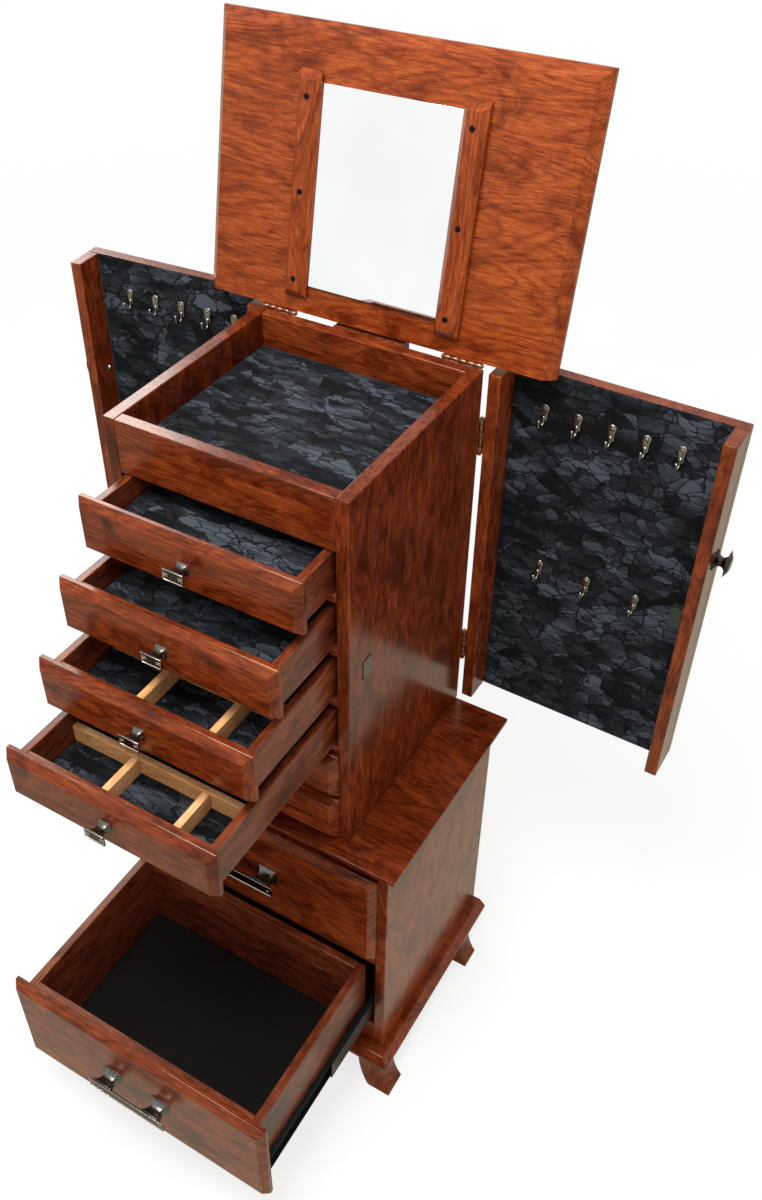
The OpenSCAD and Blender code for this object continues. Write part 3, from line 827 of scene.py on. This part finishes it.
# %% [markdown]
# ### Velvet in the tray, on the doors and in the drawers

# %% Linings
low, high = corners("tray_liner")
piece = lining("tray_velvet", "cabinet", low, high, "+Z", crushed_velvet, stands_for=["tray_liner"])
for side in ("right", "left"):
    low, high = on_side(
        side,
        (floor_x, free_y + WOOD + 0.5 * MM, door_z[0]),
        (floor_x + LINER, case_high.y - WOOD - 0.5 * MM, door_z[1]),
    )
    piece = lining(
        side + "_door_velvet",
        side + "_door",
        low,
        high,
        "-X" if side == "right" else "+X",
        crushed_velvet,
        turn=door_turn[side],
        stands_for=[side + "_door_liner"],
    )


def drawer_lining(node, wall, floor_rise, material, relief):
    """A cloth laid on a drawer's bottom."""
    low, high = corners(node)
    inset = wall + 0.6 * MM
    a = (low.x + inset, low.y + inset, low.z + floor_rise)
    b = (high.x - inset, high.y - inset, low.z + floor_rise + 2 * MM)
    name = node.replace("_box", "_lining")
    piece = lining(name, body_of_node(node), a, b, "+Z", material, relief)


for number in (3, 4, 5, 6):
    floor_rise = SMALL_RISE + SMALL_BOTTOM
    drawer_lining(f"drawer_{number}_box", SMALL_WALL, floor_rise, crushed_velvet, 0.5 * MM)
for place in ("upper", "lower"):
    floor_rise = BASE_RISE + BASE_BOTTOM
    drawer_lining(f"{place}_base_drawer_box", BASE_WALL, floor_rise, felt, 0.2 * MM)

# %% [markdown]
# ### Ring roll and pad
# The top drawer holds a ring roll: soft foam under velvet, folded into rolls with a slot between
# each pair, where rings stand. The second drawer holds a plain crowned pad.

# %% Padded inserts
low, high = corners("drawer_1_ring_roll")
ROLL_PITCH = 46 * MM
SLOT_DEPTH = 9 * MM


def rolls(x, y):
    """Round rolls side by side, with deep slots between them."""
    phase = (y - low.y) / ROLL_PITCH % 1
    return -SLOT_DEPTH * (1 - math.sqrt(max(0.0, 1 - (2 * phase - 1) ** 10)))


piece = lining(
    "ring_roll",
    "drawer_1",
    low,
    high,
    "+Z",
    crushed_velvet,
    0.3 * MM,
    stands_for=["drawer_1_ring_roll"],
    lift=rolls,
    step=3 * MM,
)
pad_low, pad_high = corners("drawer_2_pad")


def crown(x, y):
    """A pad is fuller in its middle."""
    u = (x - pad_low.x) / (pad_high.x - pad_low.x)
    v = (y - pad_low.y) / (pad_high.y - pad_low.y)
    return -5 * MM * (1 - min(1, 6 * min(u, 1 - u, v, 1 - v)) ** 0.5)


piece = lining(
    "velvet_pad",
    "drawer_2",
    pad_low,
    pad_high,
    "+Z",
    crushed_velvet,
    0.6 * MM,
    stands_for=["drawer_2_pad"],
    lift=crown,
)
print("linings done")

# %% [markdown]
# ## Hardware
# The pulls, knobs, hinges and slides keep their CAD shapes, merged and with eased edges. Wear
# shows on the pulls: the raised rim is rubbed bright, the face inside it stays dark, its small
# studs are polished copper and the post behind it is grey. The knobs are plainer.

# %% Pulls, knobs, hinges and slides
RIM, STUD, POST = 1, 2, 3
PLATE_T = 3.2 * MM
for node in [n for n in nodes if n.endswith("_pull")]:
    metals = [bronze, rubbed_edge, stud_copper, post_metal]
    piece = eased_copy(node, 0.5 * MM, metals, edge_slot=RIM)
    front = min(v.co.y for v in piece.data.vertices)
    for face in piece.data.polygons:
        depth = face.center.y - front
        facing = abs(face.normal.y)
        if depth > PLATE_T:
            face.material_index = POST
        elif depth < 0.3 * MM and facing > 0.9:
            face.material_index = RIM
        elif 0.01 * MM < depth < 0.75 * MM and 0.3 < facing < 0.95 and face.area > 3e-6:
            face.material_index = STUD

EDGE, SCREW, CATCH = 1, 2, 3
above_catch = case_low.z + 380 * MM
for side in ("right", "left"):
    metals = [bronze, post_metal, bright_steel, catch_steel]
    piece = eased_copy(side + "_door_knob_catch", 0.5 * MM, metals, edge_slot=EDGE)
    shut = door_turn[side].inverted()
    for face in piece.data.polygons:
        if (shut @ face.center).y > free_y + WOOD - 0.1 * MM:
            face.material_index = SCREW if face.center.z > above_catch else CATCH
    eased_copy(side + "_door_hinge_leaves", 0.15 * MM, [copper], segments=1)
eased_copy("hinge_case_halves", 0.15 * MM, [copper], segments=1)
eased_copy("lid_hinge_leaves", 0.15 * MM, [copper], segments=1)
eased_copy("strike_plates", 0.3 * MM, [post_metal])
eased_copy("mirror_glass", 0.4 * MM, [mirror_glass])
eased_copy("mirror_screws", 0.2 * MM, [black_screw])
for node in nodes:
    if "slide" in node:
        eased_copy(node, 0.2 * MM, [black_steel])

# %% [markdown]
# ### Hooks
# A hook is a small die-cast piece: a rounded plate with a screw in its top, and a prong that
# comes out of the plate's foot, bends round and ends in a ball. One hook is built, and
# Geometry Nodes set a copy on each point of its door.


# %% The hook
def skin(bm, rings):
    """Closes a row of rings into a smooth solid."""
    count = len(rings[0])
    for one, two in zip(rings, rings[1:]):
        for s in range(count):
            t = (s + 1) % count
            bm.faces.new([one[s], one[t], two[t], two[s]])
    bm.faces.new(rings[0])
    bm.faces.new(rings[-1])


def tube(bm, points, radii):
    """A round tube along points in the YZ plane."""
    sides = 12
    rings = []
    for k, point in enumerate(points):
        ahead = points[min(k + 1, len(points) - 1)] - points[max(k - 1, 0)]
        ahead.normalize()
        side = Vector((1, 0, 0))
        other = ahead.cross(side).normalized()
        rings.append(
            [
                bm.verts.new(
                    point
                    + side * radii[k] * math.cos(2 * math.pi * s / sides)
                    + other * radii[k] * math.sin(2 * math.pi * s / sides)
                )
                for s in range(sides)
            ]
        )
    skin(bm, rings)


HALF_HOOK = 14 * MM


def hook_mesh():
    """The hook stands on the XZ plane and reaches out along -Y."""
    bm = bmesh.new()
    outline = []
    for k in range(40):
        angle = 2 * math.pi * k / 40
        x, z = math.cos(angle), math.sin(angle)
        r = 6.8 * MM if z > 0 else 4.6 * MM
        outline.append((x * r, math.copysign(HALF_HOOK - r, z) + z * r if abs(z) > 1e-6 else 0))
    levels = ((0, 1.0), (1.0, 1.0), (1.6, 0.93), (2.0, 0.78), (2.2, 0.45))
    rings = [
        [bm.verts.new((x * grow, -out * MM, z * (grow * 0.6 + 0.4))) for x, z in outline]
        for out, grow in levels
    ]
    skin(bm, rings)
    bend = 8 * MM
    low = -12 * MM
    points = [Vector((0, -1.5 * MM, -4 * MM)), Vector((0, -2.4 * MM, -8 * MM))]
    for k in range(17):
        angle = math.pi * k / 16
        reach, drop = bend * (1 - math.cos(angle)), bend * math.sin(angle) * 0.9
        points.append(Vector((0, -2.8 * MM - reach, low - drop)))
    points += [Vector((0, -2.9 * MM - 2 * bend, low + 2.5 * MM * k)) for k in (1, 2)]
    radii = [2.2 * MM - 0.9 * MM * k / (len(points) - 1) for k in range(len(points))]
    tube(bm, points, radii)
    bmesh.ops.create_uvsphere(
        bm,
        u_segments=18,
        v_segments=12,
        radius=2.8 * MM,
        matrix=Matrix.Translation(points[-1] + Vector((0, 0, 1.8 * MM))),
    )
    bmesh.ops.create_uvsphere(
        bm,
        u_segments=16,
        v_segments=10,
        radius=2.6 * MM,
        matrix=Matrix.Translation((0, -2.0 * MM, 7.5 * MM)) @ Matrix.Diagonal((1, 0.45, 1, 1)),
    )
    for face in bm.faces:
        face.smooth = True
    bmesh.ops.recalc_face_normals(bm, faces=bm.faces)
    return finished_mesh("hook", bm, [])


# %% Geometry Nodes that set a copy on each point
def copies_tree():
    tree = bpy.data.node_groups.new("copies_on_points", "GeometryNodeTree")
    for name, kind in (
        ("Points", "NodeSocketGeometry"),
        ("Part", "NodeSocketObject"),
        ("Size", "NodeSocketFloat"),
        ("Finish", "NodeSocketMaterial"),
    ):
        tree.interface.new_socket(name, in_out="INPUT", socket_type=kind)
    tree.interface.new_socket("Geometry", in_out="OUTPUT", socket_type="NodeSocketGeometry")
    given = tree.nodes.new("NodeGroupInput")
    part = add(tree, "GeometryNodeObjectInfo", Object=given.outputs["Part"])
    turn = add(tree, "GeometryNodeInputNamedAttribute", {"data_type": "FLOAT_VECTOR"}, Name="turn")
    angle = add(tree, "FunctionNodeEulerToRotation", Euler=turn.outputs["Attribute"])
    placed = add(
        tree,
        "GeometryNodeInstanceOnPoints",
        Points=given.outputs["Points"],
        Instance=part.outputs["Geometry"],
        Rotation=angle.outputs[0],
        Scale=given.outputs["Size"],
    )
    real = add(tree, "GeometryNodeRealizeInstances", Geometry=placed.outputs[0])
    finished = add(
        tree, "GeometryNodeSetMaterial", Geometry=real.outputs[0], Material=given.outputs["Finish"]
    )
    out = tree.nodes.new("NodeGroupOutput")
    tree.links.new(finished.outputs[0], out.inputs["Geometry"])
    return tree


copies = copies_tree()


def set_copies(name, part_mesh, places, material, body, *stands_for, size=1.0):
    """Places is a list of matrices. The result is one plain mesh."""
    part = bpy.data.objects.new(name + "_part", part_mesh)
    scene.collection.objects.link(part)
    points = bpy.data.meshes.new(name)
    points.from_pydata([m.translation for m in places], [], [])
    turns = points.attributes.new("turn", "FLOAT_VECTOR", "POINT")
    for index, m in enumerate(places):
        turns.data[index].vector = m.to_euler()
    piece = bpy.data.objects.new(name, points)
    scene.collection.objects.link(piece)
    modifier = piece.modifiers.new("copies", "NODES")
    modifier.node_group = copies
    sockets = {i.name: i.identifier for i in copies.interface.items_tree if i.in_out == "INPUT"}
    modifier[sockets["Part"]] = part
    modifier[sockets["Size"]] = size
    modifier[sockets["Finish"]] = material
    bpy.context.view_layer.update()
    solid = bpy.data.meshes.new_from_object(piece.evaluated_get(bpy.context.evaluated_depsgraph_get()))
    piece.modifiers.remove(modifier)
    piece.data = solid
    solid.name = name
    bpy.data.objects.remove(part)
    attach(piece, body)
    if stands_for:
        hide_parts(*stands_for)
    return piece


hook = hook_mesh()
HOOK_STEP = 50 * MM
FIRST_HOOK = 71 * MM
# the height of each row's upper end on the case, and its hooks' places in steps from the hinge
hook_rows = [(578 * MM, (0, 1, 2, 3, 4)), (307 * MM, (0.42, 1.98, 3.54))]
for side in ("right", "left"):
    sign = 1 if side == "right" else -1
    places = []
    for top, steps in hook_rows:
        for step in steps:
            y = case_high.y - FIRST_HOOK - step * HOOK_STEP
            z = case_low.z + top - HALF_HOOK
            spot = Matrix.Translation((sign * (floor_x - 0.2 * MM), y, z))
            # the hook's -Y has to point at the case, which is towards the middle
            places.append(door_turn[side] @ spot @ Matrix.Rotation(-sign * math.pi / 2, 4, "Z"))
    set_copies(side + "_door_hook_set", hook, places, pewter, side + "_door", side + "_door_hooks")
print("hooks", len(places), "on each door")

# %% [markdown]
# ## Floor and light
# A pale floor and a bright, even room make the lacquer shine: it mirrors the floor at a shallow
# angle. A large soft light hangs over the front of the piece. The second light, behind it at the
# left, is only seen as a shine: it draws pale lines along the tops of the boards.

# %% Floor
bpy.ops.mesh.primitive_circle_add(vertices=96, radius=30, fill_type="NGON")
floor = bpy.context.object
floor.name = "studio_floor"
pale, pale_tree, pale_shader = new_material("matt_white_floor")
pale_noise = add(pale_tree, "ShaderNodeTexNoise", Scale=3.0)
pale_tree.links.new(
    add(pale_tree, "ShaderNodeTexCoord").outputs["Object"], pale_noise.inputs["Vector"]
)
pale_tree.links.new(
    ramp(pale_tree, pale_noise.outputs["Fac"], [(0.3, "#e4e4e2"), (0.7, "#eaeae8")]),
    pale_shader.inputs["Base Color"],
)
pale_shader.inputs["Roughness"].default_value = 0.9
# far from the piece the floor turns into the bright wall of the room, so no horizon shows
place = add(pale_tree, "ShaderNodeTexCoord").outputs["Object"]
reach = vector_maths(pale_tree, "LENGTH", place)
fade = add(pale_tree, "ShaderNodeMapRange", Value=reach, From_Min=1.6, From_Max=5.0)
glow = add(pale_tree, "ShaderNodeEmission", Color=linear("#ffffff"), Strength=1.0)
mixed = add(pale_tree, "ShaderNodeMixShader")
pale_tree.links.new(fade.outputs[0], mixed.inputs[0])
pale_tree.links.new(pale_shader.outputs[0], mixed.inputs[1])
pale_tree.links.new(glow.outputs[0], mixed.inputs[2])
# the lacquer mirrors a dimmer and warmer floor, and the camera sees only a faint shadow on it
ray = add(pale_tree, "ShaderNodeLightPath")
white = add(pale_tree, "ShaderNodeEmission", Color=linear("#ffffff"), Strength=1.0)
dim = add(pale_tree, "ShaderNodeEmission", Color=linear("#c6c4b0"), Strength=1.0)
dull = maths(
    pale_tree,
    "SUBTRACT",
    ray.outputs["Is Glossy Ray"],
    ray.outputs["Is Singular Ray"],
)
surface = mixed.outputs[0]
for share, shader in (
    (maths(pale_tree, "MULTIPLY", ray.outputs["Is Camera Ray"], 0.75), white),
    (dull, dim),
):
    seen = add(pale_tree, "ShaderNodeMixShader")
    pale_tree.links.new(share, seen.inputs[0])
    pale_tree.links.new(surface, seen.inputs[1])
    pale_tree.links.new(shader.outputs[0], seen.inputs[2])
    surface = seen.outputs[0]
pale_tree.links.new(surface, pale_tree.nodes["Material Output"].inputs["Surface"])
floor.data.materials.append(pale)


# %% Lights
def soft_light(name, place, target, size, power, only_shine=False):
    lamp = bpy.data.lights.new(name, "AREA")
    lamp.shape = "DISK"
    lamp.size = size
    lamp.energy = power
    holder = bpy.data.objects.new(name, lamp)
    scene.collection.objects.link(holder)
    holder.location = place
    holder.rotation_euler = (Vector(target) - Vector(place)).to_track_quat("-Z", "Y").to_euler()
    holder.visible_diffuse = not only_shine


soft_light("over_the_front", (0.1, -0.9, 3.3), (0, 0, 0.9), 1.3, 80)
soft_light("behind_the_left", (-2.43, 1.57, 2.95), (-0.2, -0.2, 1.1), 1.42, 60, only_shine=True)
world = bpy.data.worlds.new("studio")
scene.world = world
world.use_nodes = True
background = world.node_tree.nodes["Background"]
background.inputs["Color"].default_value = linear("#ffffff")
background.inputs["Strength"].default_value = 1.0
